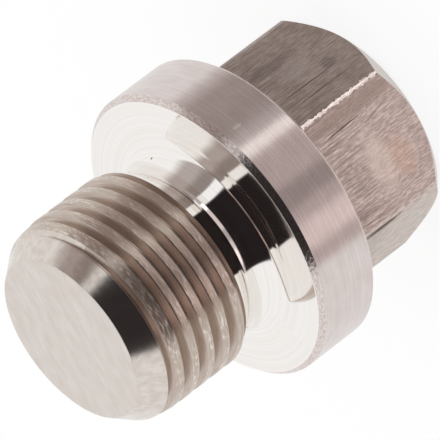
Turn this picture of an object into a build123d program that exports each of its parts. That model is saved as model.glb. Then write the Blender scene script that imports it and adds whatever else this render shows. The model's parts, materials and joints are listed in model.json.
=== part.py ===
from build123d import *
import os
from math import ceil, radians, tan

# Hex head pipe plug, turned in one piece from hexagon bar: a short parallel pipe thread, a relief neck,
# a round sealing collar and a wrench hex. It stands on its head with the thread up. Sizes are in mm.

# Hex head. The chamfer's angle is measured from the end face, and its circle lies just inside the flats.
hex_across_flats = 9.9
hex_height = 5.95
hex_edge_radius = 0.5
head_chamfer_angle = 46.0
head_chamfer_inset = 0.05

# Collar
collar_diameter = 14.0
collar_thickness = 3.25
collar_front_chamfer = 0.25
collar_back_chamfer = 0.2

# Relief neck between the sealing face and the thread, as deep below the thread's root as neck_relief
neck_relief = 0.35
neck_length = 1.4
neck_fillet = 1.0
neck_cone_fillet = 0.5
neck_cone_angle = 32.5

# Parallel pipe thread, size 1/8, right-handed. Its crests are flat, and its flanks lean 27.5 degrees.
thread_diameter = 9.728
threads_per_inch = 28
thread_flank_angle = 27.5
thread_crest_width = 0.40
thread_root_width = 0.085
thread_length = 8.0

# Where round the tip the middle of the groove runs out
thread_exit_angle = 328.0

# Tip: a cone from the end face, then a slight taper up to the full thread
tip_inset = 0.93
tip_cone_angle = 37.0
lead_taper_depth = 0.13
lead_taper_length = 0.9

# How far the thread's cutter reaches past the crests
cutter_overrun = 0.2

# The thread's form
pitch = 25.4 / threads_per_inch
flank_slope = tan(radians(thread_flank_angle))
thread_depth = (pitch - thread_crest_width - thread_root_width) / (2 * flank_slope)

# Radii
thread_radius = thread_diameter / 2
root_radius = thread_radius - thread_depth
neck_radius = root_radius - neck_relief
collar_radius = collar_diameter / 2
lead_radius = thread_radius - lead_taper_depth
tip_radius = thread_radius - tip_inset
head_chamfer_radius = hex_across_flats / 2 - head_chamfer_inset

# Heights along the axis, from the head's end face
head_top = hex_height
sealing_face = head_top + collar_thickness
neck_top = sealing_face + neck_length
thread_foot = neck_top + (thread_radius - neck_radius) / tan(radians(neck_cone_angle))
tip_face = sealing_face + thread_length
tip_cone_foot = tip_face - (lead_radius - tip_radius) / tan(radians(tip_cone_angle))
lead_foot = tip_cone_foot - lead_taper_length


def hex_head():
    """The wrench hex, its edges slightly rounded and its end face turned to a cone at the corners."""
    flats = RegularPolygon(hex_across_flats / 2, 6, major_radius=False, rotation=30)
    bar = extrude(fillet(flats.vertices(), hex_edge_radius), head_top)
    cone_radius = head_chamfer_radius + hex_height / tan(radians(head_chamfer_angle))
    cone = Cone(head_chamfer_radius, cone_radius, hex_height, align=(Align.CENTER, Align.CENTER, Align.MIN))
    return bar & cone


def turned_section():
    """Half the lengthwise section of the collar, the neck and the blank for the thread."""
    outline = Polyline(
        (0, head_top),
        (collar_radius - collar_back_chamfer, head_top),
        (collar_radius, head_top + collar_back_chamfer),
        (collar_radius, sealing_face - collar_front_chamfer),
        (collar_radius - collar_front_chamfer, sealing_face),
        (neck_radius, sealing_face),
        (neck_radius, neck_top),
        (thread_radius, thread_foot),
        (thread_radius, lead_foot),
        (lead_radius, tip_cone_foot),
        (tip_radius, tip_face),
        (0, tip_face),
        close=True,
    )
    section = make_face(Plane.XZ * outline)
    neck_root = section.vertices().sort_by_distance((neck_radius, 0, sealing_face))[0]
    section = fillet(neck_root, neck_fillet)
    cone_root = section.vertices().sort_by_distance((neck_radius, 0, neck_top))[0]
    return fillet(cone_root, neck_cone_fillet)


def groove_turn():
    """One turn of the cutter for the thread's groove, starting on the X axis."""
    cutter_radius = thread_radius + cutter_overrun
    half_root = thread_root_width / 2
    half_mouth = half_root + (cutter_radius - root_radius) * flank_slope
    section = Plane.XZ * Polyline(
        (root_radius, -half_root),
        (cutter_radius, -half_mouth),
        (cutter_radius, half_mouth),
        (root_radius, half_root),
        close=True,
    )
    return sweep(make_face(section), Helix(pitch, pitch, root_radius), is_frenet=True)


def plug_body():
    """The whole plug. The groove is cut a turn at a time, from the neck up and out past the tip."""
    body = hex_head() + revolve(turned_section(), Axis.Z)
    turn = groove_turn()
    climb = tip_face - neck_top
    first_angle = thread_exit_angle - 360 * climb / pitch
    for count in range(ceil(climb / pitch) + 1):
        body -= Pos(0, 0, neck_top + count * pitch) * Rot(0, 0, first_angle) * turn
    return body


os.makedirs("parts", exist_ok=True)
export_step(plug_body(), "parts/plug_body.step")
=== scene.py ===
import json
from math import ceil, cos, pi, radians, sin, tan

import bmesh
import bpy
from mathutils import Matrix, Vector


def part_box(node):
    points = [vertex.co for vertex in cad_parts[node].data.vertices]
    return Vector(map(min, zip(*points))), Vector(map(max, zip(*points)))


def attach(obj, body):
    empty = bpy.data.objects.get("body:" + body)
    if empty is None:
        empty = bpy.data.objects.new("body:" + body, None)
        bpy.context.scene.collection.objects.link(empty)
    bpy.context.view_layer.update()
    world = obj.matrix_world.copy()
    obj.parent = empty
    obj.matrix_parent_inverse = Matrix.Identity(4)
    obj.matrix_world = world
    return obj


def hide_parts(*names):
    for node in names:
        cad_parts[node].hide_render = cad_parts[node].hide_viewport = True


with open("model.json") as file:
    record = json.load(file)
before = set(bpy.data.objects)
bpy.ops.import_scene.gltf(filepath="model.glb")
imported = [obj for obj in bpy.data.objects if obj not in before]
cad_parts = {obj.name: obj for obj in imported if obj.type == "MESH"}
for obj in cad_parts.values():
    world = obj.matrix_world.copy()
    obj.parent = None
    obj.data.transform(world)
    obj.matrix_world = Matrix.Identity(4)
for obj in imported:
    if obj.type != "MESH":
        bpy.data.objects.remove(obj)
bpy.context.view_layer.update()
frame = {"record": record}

# A hex head pipe plug, turned in one piece from hexagon bar. It is shaped here in millimetres, and each
# finished mesh is scaled to metres.
metres = 0.001
low, high = (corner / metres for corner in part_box("plug_body"))
mounts = {mount["name"]: mount for mount in frame["record"]["mounts"]}
tip_face = high.z
collar_radius = high.x
sealing_face = mounts["sealing_face"]["pos_m"][2] / metres
flat_distance = mounts["wrench_flat_front"]["pos_m"][0] / metres
thread_radius = mounts["pipe_thread"]["dims"]["r_mm"]

# Hex head
collar_back = 5.95
corner_radius = 0.5
chamfer_angle = 46.0
chamfer_inset = 0.05

# Collar
front_chamfer = 0.25
back_chamfer = 0.2

# Relief neck
neck_radius = 4.109
neck_top = sealing_face + 1.4
neck_fillet = 1.0
neck_cone_fillet = 0.25
neck_cone_angle = 32.5
neck_joint = sealing_face + 1.1
lip_start = sealing_face + 1.16
lip_depth = 0.014

# Thread
pitch = 25.4 / 28
flank_slope = tan(radians(27.5))
crest_width = 0.40
root_width = 0.085
thread_depth = (pitch - crest_width - root_width) / (2 * flank_slope)
root_radius = thread_radius - thread_depth
exit_angle = 328.0
crest_rounding = 0.03
root_rounding = 0.03

# Tip
tip_radius = thread_radius - 0.93
tip_cone_angle = 37.0
lead_radius = thread_radius - 0.13
lead_length = 0.9
tip_cone_foot = tip_face - (lead_radius - tip_radius) / tan(radians(tip_cone_angle))
edge_break = 0.03

# How finely the round forms are turned, in steps a turn
turn_steps = 240

# How far a tool reaches past what it cuts
overrun = 0.3

AXIS = Vector((0, 0, 1))
CENTRE = Vector((0, 0, 0))


def round_corner(shape, corner, reach, segments):
    """Rounds a corner of a flat outline. The arc starts that far from the corner."""
    bmesh.ops.bevel(shape, geom=[corner], affect="VERTICES", offset=reach, segments=segments, profile=0.5,
                    material=-1)


def outline(points, rounded):
    """A half section in the XZ plane as a chain of edges. rounded gives a corner's place in it, reach and segments."""
    shape = bmesh.new()
    corners = [shape.verts.new((radius, 0, height)) for radius, height in points]
    for start, end in zip(corners, corners[1:]):
        shape.edges.new((start, end))
    for place, reach, segments in rounded:
        round_corner(shape, corners[place], reach, segments)
    return shape


def turned(points, rounded=()):
    """A solid turned round the Z axis from a half section that starts and ends on the axis."""
    shape = outline(points, rounded)
    bmesh.ops.spin(shape, geom=shape.verts[:] + shape.edges[:], cent=CENTRE, axis=AXIS, dvec=CENTRE,
                   angle=2 * pi, steps=turn_steps, use_merge=True)
    bmesh.ops.remove_doubles(shape, verts=shape.verts, dist=0.0005)
    bmesh.ops.recalc_face_normals(shape, faces=shape.faces)
    return shape


def piece_from(name, shape):
    mesh = bpy.data.meshes.new(name)
    shape.to_mesh(mesh)
    shape.free()
    piece = bpy.data.objects.new(name, mesh)
    bpy.context.scene.collection.objects.link(piece)
    return piece


def settle(piece):
    """Makes what the piece's modifiers do a part of its mesh."""
    graph = bpy.context.evaluated_depsgraph_get()
    mesh = bpy.data.meshes.new_from_object(piece.evaluated_get(graph))
    piece.modifiers.clear()
    piece.data = mesh


def combine(piece, tool, operation):
    """Cuts the piece with the tool, or joins it on, and removes the tool."""
    modifier = piece.modifiers.new("combine", "BOOLEAN")
    modifier.operation = operation
    modifier.solver = "EXACT"
    modifier.object = tool
    settle(piece)
    bpy.data.objects.remove(tool)


def hex_head():
    """The hexagon bar, its edges a little rounded, with its end face turned to a cone at the corners."""
    bar = bmesh.new()
    bmesh.ops.create_circle(bar, cap_ends=True, radius=flat_distance / cos(pi / 6), segments=6)
    grown = bmesh.ops.extrude_face_region(bar, geom=bar.faces[:])
    top = [part for part in grown["geom"] if isinstance(part, bmesh.types.BMVert)]
    bmesh.ops.translate(bar, verts=top, vec=(0, 0, collar_back + overrun))
    bmesh.ops.recalc_face_normals(bar, faces=bar.faces)
    upright = [edge for edge in bar.edges if abs(edge.verts[0].co.z - edge.verts[1].co.z) > overrun]
    bmesh.ops.bevel(bar, geom=upright, affect="EDGES", offset=corner_radius * tan(pi / 6), segments=8,
                    profile=0.5, material=-1)
    head = piece_from("head", bar)
    end_radius = flat_distance - chamfer_inset
    height = collar_back + 2 * overrun
    wide = end_radius + height / tan(radians(chamfer_angle))
    cone = turned([(0, 0), (end_radius, 0), (wide, height), (0, height)])
    combine(head, piece_from("cone", cone), "INTERSECT")
    return head


def collar_and_neck():
    """The collar and the neck's lower part, up to where the threaded end joins on."""
    return turned(
        [
            (0, collar_back),
            (collar_radius - back_chamfer, collar_back),
            (collar_radius, collar_back + back_chamfer),
            (collar_radius, sealing_face - front_chamfer),
            (collar_radius - front_chamfer, sealing_face),
            (neck_radius, sealing_face),
            (neck_radius, neck_joint),
            (0, neck_joint),
        ],
        [
            (1, edge_break, 3),
            (2, edge_break, 3),
            (3, edge_break, 3),
            (4, edge_break, 3),
            (5, neck_fillet, 24),
        ],
    )


def threaded_rod():
    """A rod with the thread all along it, a little longer than the threaded end at both ends."""
    ramp = thread_depth * flank_slope
    turns = ceil((tip_face - neck_joint + overrun) / pitch) + 3
    groove = tip_face - pitch * (exit_angle / 360 + turns - 3)
    crest_end = groove - root_width / 2 - ramp
    profile = outline(
        [
            (thread_radius, crest_end - crest_width / 2),
            (thread_radius, crest_end),
            (root_radius, crest_end + ramp),
            (root_radius, crest_end + ramp + root_width),
            (thread_radius, crest_end + 2 * ramp + root_width),
            (thread_radius, crest_end + crest_width / 2 + 2 * ramp + root_width),
        ],
        [(1, crest_rounding, 3), (2, root_rounding, 2), (3, root_rounding, 2), (4, crest_rounding, 3)],
    )
    bmesh.ops.spin(profile, geom=profile.verts[:] + profile.edges[:], cent=CENTRE, axis=AXIS,
                   dvec=(0, 0, pitch / turn_steps), angle=2 * pi, steps=turn_steps)
    turn = profile.verts[:] + profile.edges[:] + profile.faces[:]
    for count in range(1, turns):
        copied = bmesh.ops.duplicate(profile, geom=turn)["geom"]
        moved = [part for part in copied if isinstance(part, bmesh.types.BMVert)]
        bmesh.ops.translate(profile, verts=moved, vec=(0, 0, count * pitch))
    bmesh.ops.remove_doubles(profile, verts=profile.verts, dist=0.002)
    for height, up in ((tip_face + overrun, True), (neck_joint - overrun, False)):
        bmesh.ops.bisect_plane(profile, geom=profile.verts[:] + profile.edges[:] + profile.faces[:],
                               plane_co=(0, 0, height), plane_no=AXIS, clear_outer=up, clear_inner=not up)
        rim = [edge for edge in profile.edges if edge.is_boundary
               and all(abs(end.co.z - height) < 0.001 for end in edge.verts)]
        bmesh.ops.edgeloop_fill(profile, edges=rim)
    bmesh.ops.recalc_face_normals(profile, faces=profile.faces)
    return profile


def threaded_end():
    """The threaded rod turned down to the neck's cone at one end and to the tip's cone at the other."""
    outside = thread_radius + overrun
    cone_slope = tan(radians(neck_cone_angle))
    lead_slope = (thread_radius - lead_radius) / lead_length
    stock = turned(
        [
            (0, neck_joint),
            (neck_radius, neck_joint),
            (neck_radius, lip_start),
            (neck_radius - lip_depth, neck_top),
            (outside, neck_top + (outside - neck_radius) / cone_slope),
            (outside, tip_cone_foot - (outside - lead_radius) / lead_slope),
            (lead_radius, tip_cone_foot),
            (tip_radius, tip_face),
            (0, tip_face),
        ],
        [
            (3, neck_cone_fillet * tan(radians(neck_cone_angle / 2)), 8),
            (6, 0.1, 3),
            (7, edge_break, 3),
        ],
    )
    rod = piece_from("rod", threaded_rod())
    combine(rod, piece_from("stock", stock), "INTERSECT")
    return rod


def drop_joint_faces(piece):
    """Takes away the flat disc at the height where the neck's two parts meet."""
    shape = bmesh.new()
    shape.from_mesh(piece.data)
    discs = [face for face in shape.faces if abs(face.calc_center_median().z - neck_joint) < 0.001]
    bmesh.ops.delete(shape, geom=discs, context="FACES")
    shape.to_mesh(piece.data)
    shape.free()


def plug():
    """The whole plug as one closed mesh. Its wide faces set the shading, so that flats and cylinders look true."""
    lower = piece_from("plug", collar_and_neck())
    combine(lower, hex_head(), "UNION")
    upper = threaded_end()
    drop_joint_faces(lower)
    drop_joint_faces(upper)
    shape = bmesh.new()
    shape.from_mesh(lower.data)
    shape.from_mesh(upper.data)
    bpy.data.objects.remove(upper)
    bmesh.ops.remove_doubles(shape, verts=shape.verts, dist=0.0005)
    shape.to_mesh(lower.data)
    shape.free()
    lower.data.shade_smooth()
    lower.data.set_sharp_from_angle(angle=radians(28))
    even = lower.modifiers.new("even shading", "WEIGHTED_NORMAL")
    even.keep_sharp = True
    settle(lower)
    lower.data.transform(Matrix.Scale(metres, 4))
    return lower


plug_piece = plug()
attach(plug_piece, "root")
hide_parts("plug_body")

# Camera
camera_azimuth = 257.7
camera_elevation = 28.54
camera_roll = -127.2
camera_distance = 392.0
looked_at = Vector((-0.36, -2.56, 9.47))

lens = bpy.data.cameras.new("camera")
lens.sensor_width = 36
lens.lens = 761.8
lens.clip_start = 0.01
camera = bpy.data.objects.new("camera", lens)
bpy.context.scene.collection.objects.link(camera)
bpy.context.scene.camera = camera
towards = Vector((
    cos(radians(camera_azimuth)) * cos(radians(camera_elevation)),
    sin(radians(camera_azimuth)) * cos(radians(camera_elevation)),
    sin(radians(camera_elevation)),
))
camera.matrix_world = (
    Matrix.Translation((looked_at + towards * camera_distance) * metres)
    @ towards.to_track_quat("Z", "Y").to_matrix().to_4x4()
    @ Matrix.Rotation(radians(camera_roll), 4, "Z")
)

# Materials. Object coordinates are turned to millimetres first, so that every pattern's size is a real one.


def linear(code):
    """A colour's sRGB hex value as linear RGB with alpha."""
    parts = [int(code[place:place + 2], 16) / 255 for place in (1, 3, 5)]
    return [part / 12.92 if part <= 0.04045 else ((part + 0.055) / 1.055) ** 2.4 for part in parts] + [1]


def add(tree, kind, inputs=None, **settings):
    """Adds a node and gives its first output. An input is a number, a colour or another node's output."""
    made = tree.nodes.new(kind)
    for name, value in settings.items():
        setattr(made, name, value)
    for name, value in (inputs or {}).items():
        if isinstance(value, bpy.types.NodeSocket):
            tree.links.new(value, made.inputs[name])
        else:
            made.inputs[name].default_value = value
    return next((output for output in made.outputs if output.enabled), None)


def new_material(name):
    material = bpy.data.materials.new(name)
    material.use_nodes = True
    material.node_tree.nodes.clear()
    return material


def place_in_mm(tree):
    place = tree.nodes.new("ShaderNodeTexCoord").outputs["Object"]
    return add(tree, "ShaderNodeVectorMath", {0: place, "Scale": 1 / metres}, operation="SCALE")


def round_the_axis(tree, place):
    """The way a lathe's lines run, and a place as radius, length of arc at the thread and height."""
    way = add(tree, "ShaderNodeVectorMath", {0: AXIS, 1: place}, operation="CROSS_PRODUCT")
    parts = add(tree, "ShaderNodeSeparateXYZ", {0: place}).node.outputs
    flat = add(tree, "ShaderNodeVectorMath", {0: place, 1: (1, 1, 0)}, operation="MULTIPLY")
    radius = add(tree, "ShaderNodeVectorMath", {0: flat}, operation="LENGTH")
    angle = add(tree, "ShaderNodeMath", {0: parts[1], 1: parts[0]}, operation="ARCTAN2")
    arc = add(tree, "ShaderNodeMath", {0: angle, 1: thread_radius}, operation="MULTIPLY")
    rolled = add(tree, "ShaderNodeCombineXYZ", {0: radius, 1: arc, 2: parts[2]})
    return add(tree, "ShaderNodeVectorMath", {0: way}, operation="NORMALIZE"), rolled


def along(tree, place, azimuth):
    """A place turned so that its first coordinate points to that azimuth, in degrees."""
    return add(tree, "ShaderNodeVectorRotate", {"Vector": place, "Angle": -radians(azimuth)}, rotation_type="Z_AXIS")


def grain(tree, place, size, low, high, start=0.35, end=0.65, detail=2.0):
    """Noise whose grains have that size in each direction. It goes from low to high between start and end."""
    scaled = add(tree, "ShaderNodeVectorMath", {0: place, 1: size}, operation="DIVIDE")
    noise = add(tree, "ShaderNodeTexNoise", {"Vector": scaled, "Scale": 1.0, "Detail": detail})
    return add(tree, "ShaderNodeMapRange", {
        "Value": noise, "From Min": start, "From Max": end, "To Min": low, "To Max": high,
    })


def spot(tree, place, middle, size, strength=1.0, turn=(0, 0, 0)):
    """A soft oval mark: full in its middle and gone at its size, both in millimetres."""
    centred = add(tree, "ShaderNodeMapping", {
        "Vector": place, "Location": middle, "Rotation": [radians(angle) for angle in turn], "Scale": size,
    }, vector_type="TEXTURE")
    distance = add(tree, "ShaderNodeVectorMath", {0: centred}, operation="LENGTH")
    return add(tree, "ShaderNodeMapRange", {
        "Value": distance, "From Min": 1.0, "From Max": 0.4, "To Min": 0.0, "To Max": strength,
    }, interpolation_type="SMOOTHSTEP")


def rise(tree, value, start, end):
    """Goes smoothly from 0 at start to 1 at end."""
    return add(tree, "ShaderNodeMapRange", {
        "Value": value, "From Min": start, "From Max": end,
    }, interpolation_type="SMOOTHSTEP")


def shade(tree, colour, factor, other):
    """Passes from a colour to another one by a factor."""
    return add(tree, "ShaderNodeMix", {0: factor, 6: colour, 7: other}, data_type="RGBA")


def bare_steel(tree, colour, roughness, anisotropic, way, height, depth):
    """Closes a material: bare metal, its surface lines running that way, rough to a depth in millimetres."""
    rough = add(tree, "ShaderNodeBump", {"Height": height, "Distance": depth * metres, "Strength": 1.0})
    shader = add(tree, "ShaderNodeBsdfPrincipled", {
        "Base Color": colour, "Metallic": 1.0, "Roughness": roughness, "Anisotropic": anisotropic,
        "Anisotropic Rotation": 0.25, "Tangent": way, "Normal": rough,
    })
    add(tree, "ShaderNodeOutputMaterial", {"Surface": shader})


def ground_end_face():
    """Stainless bar end, ground flat: fine straight lines, cloudy satin light with no clear reflection."""
    material = new_material("ground_end_face")
    tree = material.node_tree
    place = along(tree, place_in_mm(tree), end_line_azimuth)
    lines = grain(tree, place, (2.2, 0.07, 1), 0, 1)
    clouds = grain(tree, place, (0.9, 0.5, 1), 0, 1, 0.3, 0.7, 3.0)
    colour = shade(tree, linear("#DED5CE"), clouds, linear("#E9E2DC"))
    colour = shade(tree, colour, add(tree, "ShaderNodeMath", {0: lines, 1: 0.35}, operation="MULTIPLY"),
                   linear("#D0C8C1"))
    way = add(tree, "ShaderNodeCombineXYZ", {
        0: cos(radians(end_line_azimuth)), 1: sin(radians(end_line_azimuth)), 2: 0.0,
    })
    bare_steel(tree, colour, 0.40, 0.5, way, lines, 0.0015)
    return material


def mirror_turned():
    """Stainless turned with a sharp finishing cut: nearly a mirror, with faint rings and a pit."""
    material = new_material("mirror_turned")
    tree = material.node_tree
    place = place_in_mm(tree)
    way, rolled = round_the_axis(tree, place)
    rings = grain(tree, rolled, (0.12, 40, 0.12), 0, 1)
    colour = shade(tree, linear("#F3EFEB"), rings, linear("#F7F4F1"))
    pit = spot(tree, place, neck_pit, (0.07, 0.07, 0.07))
    colour = shade(tree, colour, pit, linear("#3A3436"))
    bare_steel(tree, colour, 0.07, 0.5, way, rings, 0.00002)
    return material


def satin_turned():
    """Stainless turned with a fine feed: satin, with close lines round the collar and soft cloudy patches."""
    material = new_material("satin_turned")
    tree = material.node_tree
    place = place_in_mm(tree)
    way, rolled = round_the_axis(tree, place)
    lines = grain(tree, rolled, (0.06, 9, 0.06), 0, 1)
    clouds = grain(tree, rolled, (1, 0.7, 0.5), 0, 1, 0.3, 0.7, 3.0)
    colour = shade(tree, linear("#D8CDC9"), clouds, linear("#E1D8D5"))
    colour = shade(tree, colour, add(tree, "ShaderNodeMath", {0: lines, 1: 0.25}, operation="MULTIPLY"),
                   linear("#C2B6B2"))
    nick = spot(tree, place, collar_nick, (0.12, 0.12, 0.3))
    colour = shade(tree, colour, nick, linear("#F4EFEC"))
    bare_steel(tree, colour, 0.25, 0.85, way, lines, 0.0006)
    return material


def turned_chamfer():
    """The narrow cuts that break the edges: brighter than what they join, and ragged where the tool chattered."""
    material = new_material("turned_chamfer")
    tree = material.node_tree
    way, rolled = round_the_axis(tree, place_in_mm(tree))
    ragged = grain(tree, rolled, (0.06, 0.14, 0.06), 0, 1, 0.4, 0.6)
    colour = shade(tree, linear("#CFC1BC"), ragged, linear("#E4DAD6"))
    bare_steel(tree, colour, 0.20, 0.5, way, ragged, 0.003)
    return material


def turned_tip():
    """The tip's cone, turned with a coarser cut: half bright, its reflections drawn out round the axis."""
    material = new_material("turned_tip")
    tree = material.node_tree
    way, rolled = round_the_axis(tree, place_in_mm(tree))
    streaks = grain(tree, rolled, (0.06, 1.3, 0.06), 0, 1)
    clouds = grain(tree, rolled, (0.4, 0.4, 0.4), 0, 1)
    colour = shade(tree, linear("#D3C9C1"), clouds, linear("#E0D8D1"))
    bare_steel(tree, colour, 0.20, 0.4, way, streaks, 0.003)
    return material


def cut_thread():
    """Flanks and roots as the die leaves them: warm grey, drawn out round the axis."""
    material = new_material("cut_thread")
    tree = material.node_tree
    way, rolled = round_the_axis(tree, place_in_mm(tree))
    streaks = grain(tree, rolled, (0.05, 1.6, 0.05), 0, 1)
    colour = shade(tree, linear("#B9AAA0"), streaks, linear("#CBBDB2"))
    bare_steel(tree, colour, 0.26, 0.6, way, streaks, 0.001)
    return material


def galled_crest():
    """The thread's crests, scuffed in handling: bright torn flecks along them on a warm satin ground."""
    material = new_material("galled_crest")
    tree = material.node_tree
    way, rolled = round_the_axis(tree, place_in_mm(tree))
    torn = grain(tree, rolled, (0.1, 0.35, 0.1), 0, 1, 0.5, 0.66, 3.0)
    where = grain(tree, rolled, (1, 3.0, 0.8), 0.15, 1, 0.4, 0.6)
    flecks = add(tree, "ShaderNodeMath", {0: torn, 1: where}, operation="MULTIPLY")
    streaks = grain(tree, rolled, (0.07, 0.9, 0.05), 0, 1)
    colour = shade(tree, linear("#B8A99D"), streaks, linear("#CABCAF"))
    colour = shade(tree, colour, flecks, linear("#F0E6DF"))
    bare_steel(tree, colour, 0.30, 0.4, way, torn, 0.006)
    return material


def drawn_hexagon():
    """Bright-drawn hexagon bar: streaks and scratch marks along it, painted shade on one flat, painted light and a
    warmer hue on another.
    """
    material = new_material("drawn_hexagon")
    tree = material.node_tree
    place = place_in_mm(tree)
    height = add(tree, "ShaderNodeSeparateXYZ", {0: place}).node.outputs[2]
    streaks = grain(tree, place, (0.09, 0.09, 2.0), 0, 1, 0.4, 0.6)
    scuffs = grain(tree, place, (0.07, 0.07, 0.35), 0, 1, 0.42, 0.6, 3.0)
    clouds = grain(tree, place, (0.5, 0.5, 0.7), 0, 1, 0.35, 0.65, 4.0)
    lit_side = along(tree, place, lit_flat_azimuth)
    shaded_side = along(tree, place, shaded_flat_azimuth)
    warm = rise(tree, add(tree, "ShaderNodeSeparateXYZ", {0: lit_side}), flat_distance - 0.2, flat_distance - 0.05)
    dark = rise(tree, add(tree, "ShaderNodeSeparateXYZ", {0: shaded_side}), flat_distance - 0.2, flat_distance - 0.05)

    # Painted light and shade: the flat at 240° is painted lighter and warmer, the flat at 300° darker, for how the
    # light falls on them
    colour = shade(tree, linear("#D8CCC2"), clouds, linear("#E4D9D0"))
    colour = shade(tree, colour, warm, shade(tree, linear("#DCCFC9"), clouds, linear("#F3E6DE")))
    colour = shade(tree, colour, dark, shade(tree, linear("#B4A59E"), clouds, linear("#C7BAB3")))

    # Streaks deeper towards the collar, and darker scuffs all over
    near_collar = rise(tree, height, 2.4, 4.6)
    depth = add(tree, "ShaderNodeMapRange", {"Value": near_collar, "To Min": 0.2, "To Max": 0.6})
    colour = shade(tree, colour, add(tree, "ShaderNodeMath", {0: streaks, 1: depth}, operation="MULTIPLY"),
                   linear("#85746C"))
    colour = shade(tree, colour, add(tree, "ShaderNodeMath", {0: scuffs, 1: 0.45}, operation="MULTIPLY"),
                   linear("#8F8079"))

    # Patches, painted light and painted shade among them
    for which_flat, middle, size, strength, tint in tints_and_painted_light:
        side = lit_side if which_flat == "warm" else shaded_side
        mark = spot(tree, side, middle, size, strength)
        colour = shade(tree, colour, mark, linear(tint))
    # Scratch marks, one of them a painted dark reflection
    for which_flat, middle, size, lean, strength in scratches_and_dark_reflection:
        side = lit_side if which_flat == "warm" else shaded_side
        mark = spot(tree, side, middle, size, strength, (lean, 0, 0))
        colour = shade(tree, colour, mark, linear("#5A4C46"))

    # The corner between these two flats: worn smoother, with a ragged painted highlight along it
    jagged = grain(tree, place, (0.3, 0.3, 0.16), 0.03, 0.13)
    corner_side = add(tree, "ShaderNodeSeparateXYZ", {0: along(tree, place, worn_highlit_corner_azimuth)}).node.outputs[1]
    aside = add(tree, "ShaderNodeMath", {0: corner_side}, operation="ABSOLUTE")
    rubbed_and_highlit = add(tree, "ShaderNodeMath", {0: aside, 1: jagged}, operation="LESS_THAN")
    # Painted highlight: the corner's bright line is put into its colour, while the wear only lowers its roughness
    colour = shade(tree, colour, rubbed_and_highlit, linear("#FFF8F4"))
    roughness = add(tree, "ShaderNodeMapRange", {"Value": clouds, "To Min": 0.34, "To Max": 0.44})
    roughness = add(tree, "ShaderNodeMapRange", {"Value": rubbed_and_highlit, "To Min": roughness, "To Max": 0.2})
    way = add(tree, "ShaderNodeCombineXYZ", {0: 0.0, 1: 0.0, 2: 1.0})
    rough = add(tree, "ShaderNodeMath", {0: streaks, 1: scuffs}, operation="ADD")
    bare_steel(tree, colour, roughness, 0.6, way, rough, 0.004)
    return material


def faced_head():
    """The head's end, faced on the lathe: satin, with feed rings 0.15 mm apart."""
    material = new_material("faced_head")
    tree = material.node_tree
    way, rolled = round_the_axis(tree, place_in_mm(tree))
    rings = grain(tree, rolled, (0.15, 30, 0.15), 0, 1)
    colour = shade(tree, linear("#CFC5BF"), rings, linear("#DED6D1"))
    bare_steel(tree, colour, 0.28, 0.7, way, rings, 0.002)
    return material


# Where the marks lie that the plug shows, in millimetres


def around(radius, azimuth, height):
    return Vector((radius * cos(radians(azimuth)), radius * sin(radians(azimuth)), height))


end_line_azimuth = -32.3
neck_pit = around(4.26, 328, 9.68)
collar_nick = around(7.0, 282, 8.2)
# The flat painted lighter and the flat in painted shade, by azimuth in degrees
lit_flat_azimuth = 240
shaded_flat_azimuth = 300
# The corner with a painted highlight along it
worn_highlit_corner_azimuth = 270

# Tinted patches on the hex, with painted light and painted shade among them: side, middle (out, across, up), size,
# strength, colour
flat_edge = flat_distance * tan(pi / 6)
tints_and_painted_light = [
    # Painted light: a lighter middle on the flat at 240°
    ("warm", (flat_distance, -0.5, 2.7), (1, 1.6, 0.9), 0.5, "#F8ECE0"),
    ("warm", (flat_distance, -0.8, 1.6), (1, 1.3, 0.8), 0.4, "#E6C4AE"),
    # Painted shade: a brown-grey band on the flat at 240°, beside the corner at 270°
    ("warm", (flat_distance, flat_edge - 0.6, 2.8), (1, 0.55, 4.2), 0.8, "#B0A197"),
    ("dark", (flat_distance, -0.8, 1.6), (1, 0.5, 0.5), 0.5, "#7C6F69"),
    ("dark", (flat_distance, 1.0, 3.4), (1, 0.5, 1.6), 0.5, "#7C6F69"),
    ("dark", (flat_distance, 0.0, 2.9), (1, 0.7, 1.2), 0.4, "#C0B5B0"),
]

# Scratches on the hex, and one painted dark reflection along the corner at 210°: side, middle (out, across, up), half
# size, lean in degrees, strength
scratches_and_dark_reflection = [
    ("warm", (flat_distance, flat_edge - 1.1, 3.6), (1, 0.05, 1.3), 2, 0.9),
    ("warm", (flat_distance, flat_edge - 1.35, 1.7), (1, 0.05, 1.0), 12, 0.45),
    # Painted dark reflection: a dark line along the rounded corner at 210°, not a scratch
    ("warm", (flat_distance, -flat_edge, 4.1), (1, 0.09, 1.5), 0, 0.9),
    ("dark", (flat_distance, 1.1 - flat_edge, 2.9), (1, 0.05, 2.3), 0, 0.6),
    ("dark", (flat_distance, 1.8 - flat_edge, 3.2), (1, 0.05, 2.0), 0, 0.7),
]

finishes = [
    ground_end_face(), mirror_turned(), satin_turned(), turned_chamfer(), turned_tip(), cut_thread(),
    galled_crest(), drawn_hexagon(), faced_head(),
]
for material in finishes:
    plug_piece.data.materials.append(material)
order = [material.name for material in finishes]


def finish_at(place, normal):
    """Which finish a face has, from where its middle lies, in millimetres, and which way it faces."""
    radius = (place.x ** 2 + place.y ** 2) ** 0.5
    if place.z > tip_face - 0.01:
        return "ground_end_face"
    if place.z > tip_cone_foot - 0.06 and normal.z > 0.25:
        return "turned_tip"
    if place.z > neck_top + 0.55:
        return "galled_crest" if radius > thread_radius - 0.15 and abs(normal.z) < 0.3 else "cut_thread"
    if place.z > sealing_face - 0.01:
        return "mirror_turned"
    if radius > flat_distance / cos(pi / 6):
        return "turned_chamfer" if 0.2 < abs(normal.z) < 0.9 else "satin_turned"
    return "faced_head" if normal.z < -0.2 else "drawn_hexagon"


for face in plug_piece.data.polygons:
    face.material_index = order.index(finish_at(face.center / metres, face.normal))

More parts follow.
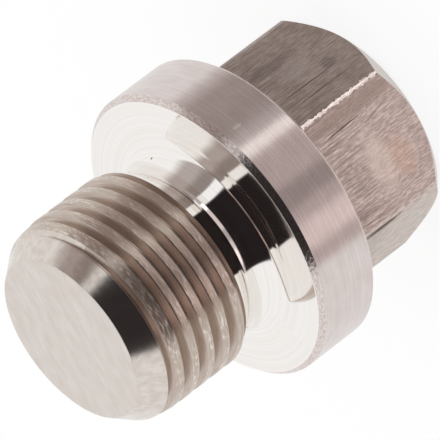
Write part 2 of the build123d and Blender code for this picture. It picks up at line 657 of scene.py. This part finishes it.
# Floor
floor_half = 0.6
floor_shape = bmesh.new()
bmesh.ops.create_grid(floor_shape, x_segments=1, y_segments=1, size=floor_half)
floor = piece_from("floor", floor_shape)
floor.visible_glossy = False
floor_finish = new_material("pale_floor")
tree = floor_finish.node_tree
matt = add(tree, "ShaderNodeBsdfDiffuse", {"Color": linear("#FFFFFF")})
glow = add(tree, "ShaderNodeEmission", {"Color": linear("#FFFFFF"), "Strength": 1.0})
seen = tree.nodes.new("ShaderNodeLightPath").outputs["Is Camera Ray"]
share = add(tree, "ShaderNodeMath", {0: seen, 1: 0.85}, operation="MULTIPLY")
both = add(tree, "ShaderNodeMixShader", {0: share, 1: matt, 2: glow})
add(tree, "ShaderNodeOutputMaterial", {"Surface": both})
floor.data.materials.append(floor_finish)

# Studio: a white tent with a few cards in it, which only the steel's reflections see
world = bpy.data.worlds.new("studio")
bpy.context.scene.world = world
world.use_nodes = True
tree = world.node_tree
tree.nodes.clear()
looking = tree.nodes.new("ShaderNodeTexCoord").outputs["Generated"]
climb = add(tree, "ShaderNodeMath", {
    0: add(tree, "ShaderNodeSeparateXYZ", {0: looking}).node.outputs[2],
}, operation="ARCSINE")


def edge(azimuth, soft, inward):
    """A card's long edge, hung so that a turned neck shows it straight at that azimuth, to the camera's eye."""
    angle = radians(azimuth)
    aside = add(tree, "ShaderNodeVectorMath", {0: looking, 1: (-sin(angle), cos(angle), 0)}, operation="DOT_PRODUCT")
    place = cos(radians(camera_elevation)) * sin(radians(azimuth - camera_azimuth))
    return rise(tree, aside, place - soft * inward, place + soft * inward)


def card(light, first, last, low, high, code, strength=1.0, soft=0.02, last_soft=None):
    """Hangs a card in the tent's light, between two long edges and two elevations. A high card goes over the top."""
    inside = edge(first, soft, 1)
    for mask in (
        edge(last, last_soft or soft, -1),
        rise(tree, climb, radians(low - 2), radians(low + 2)),
        rise(tree, climb, radians(high + 2), radians(high - 2)),
        rise(tree, front, -0.2, -0.1),
    ):
        inside = add(tree, "ShaderNodeMath", {0: inside, 1: mask}, operation="MULTIPLY")
    shown = [part * strength for part in linear(code)[:3]] + [1]
    return shade(tree, light, inside, shown)


front = add(tree, "ShaderNodeVectorMath", {
    0: looking, 1: (cos(radians(camera_azimuth)), sin(radians(camera_azimuth)), 0),
}, operation="DOT_PRODUCT")
under = -21
floor_line = -55
over = 95
light = linear("#FFFFFF")
light = card(light, 224, 270, floor_line, under, "#E9DAD8", 1.0)
light = card(light, 231, 241, floor_line, under, "#FFEFEE", 1.35, 0.06)
light = card(light, 247, 255, floor_line, under, "#BEB1AF", 1.0, 0.04)
light = card(light, 300, 318, floor_line, under, "#CBC0BE", 1.0, 0.06, 0.12)
light = card(light, 280, 304, under, over, "#B9AFAC", 1.0, 0.02, 0.12)
light = card(light, 280, 289, under, over, "#968B87", 1.0, 0.02, 0.08)
light = card(light, 275, 302, floor_line, under, "#B0A5A2", 1.0, 0.02, 0.06)
light = card(light, 225, 273, under, over, "#221C1D")
light = card(light, 270, 274.5, floor_line, under, "#FFFAF8", 1.6, 0.02)
path = tree.nodes.new("ShaderNodeLightPath").outputs
reflected = add(tree, "ShaderNodeBackground", {"Color": light, "Strength": 0.95})
plain = add(tree, "ShaderNodeBackground", {"Color": (1, 1, 1, 1), "Strength": 1.0})
chosen = add(tree, "ShaderNodeMixShader", {0: path["Is Glossy Ray"], 1: plain, 2: reflected})
add(tree, "ShaderNodeOutputWorld", {"Surface": chosen})
bpy.context.scene.view_settings.view_transform = "Standard"
